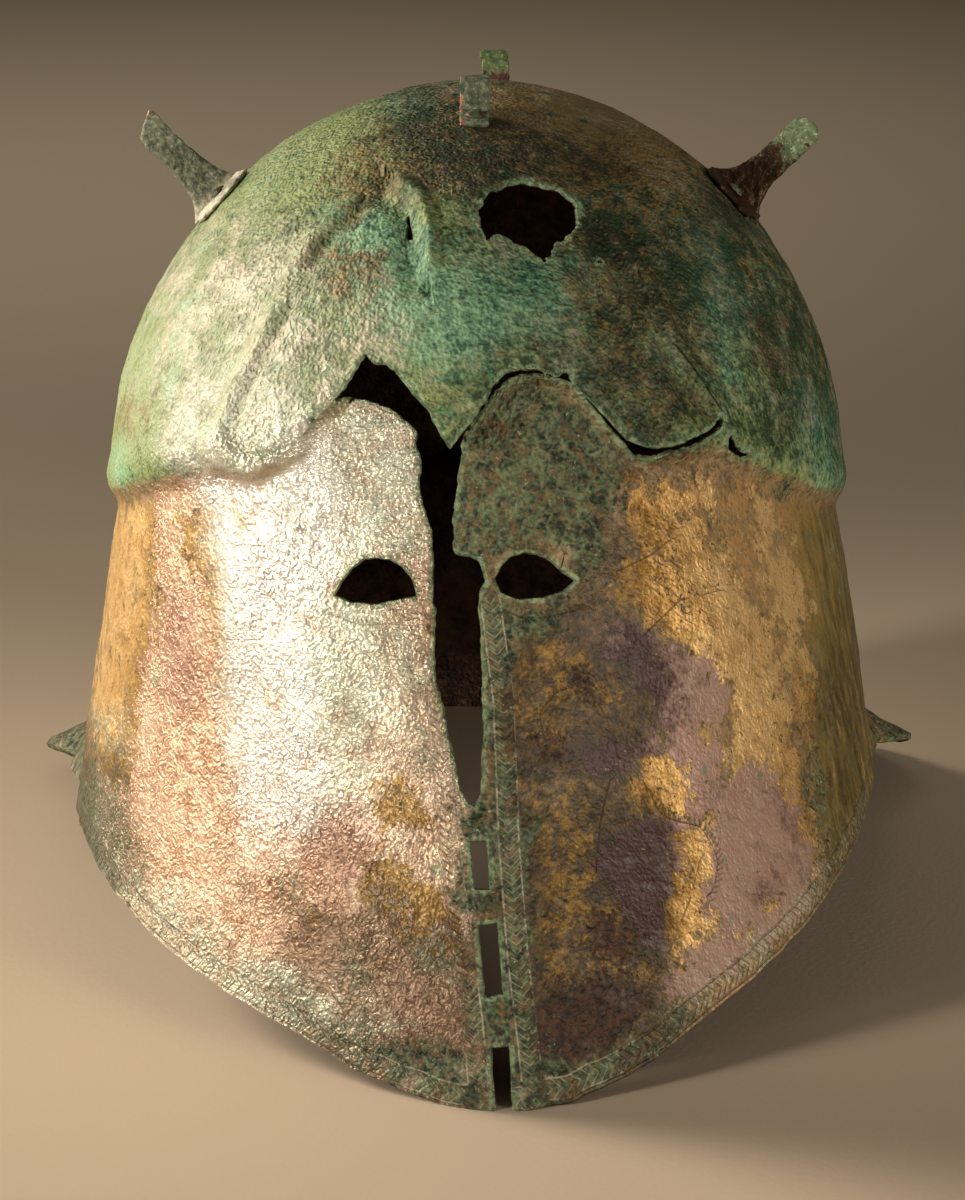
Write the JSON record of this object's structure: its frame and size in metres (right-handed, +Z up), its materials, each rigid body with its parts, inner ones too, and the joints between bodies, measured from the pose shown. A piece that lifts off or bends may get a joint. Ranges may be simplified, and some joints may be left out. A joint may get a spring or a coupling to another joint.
{
  "type": "apulo-corinthian helmet",
  "caption": "Hammered bronze helmet with a domed crown, small eye openings, a slotted face, a flared neck guard, two hooked crest clips and two side plume prongs.",
  "frame": {"origin": "bottom centre of the bounding box, on the plane that the cheek tips and the neck guard rest on", "axes": "+Z up, -Y the way the face looks, +X the wearer's left"},
  "size_m": [0.2314, 0.2706, 0.2011],
  "materials": {
    "shell_bronze": "green, brown and gold patina on hammered bronze",
    "clip_bronze": "dark green crust",
    "horn_bronze": "green and brown crust",
    "rivet_bronze": "low heads under green crust"
  },
  "bodies": {
    "root": {"helmet_shell": "shell_bronze", "crest_clip_front": "clip_bronze", "crest_clip_front_rivet": "rivet_bronze", "crest_clip_rear": "clip_bronze", "crest_clip_rear_rivet": "rivet_bronze", "plume_horn_right": "horn_bronze", "plume_horn_right_rivet_front": "rivet_bronze", "plume_horn_right_rivet_rear": "rivet_bronze", "plume_horn_left": "horn_bronze", "plume_horn_left_rivet_front": "rivet_bronze", "plume_horn_left_rivet_rear": "rivet_bronze"}
  },
  "joints": []
}
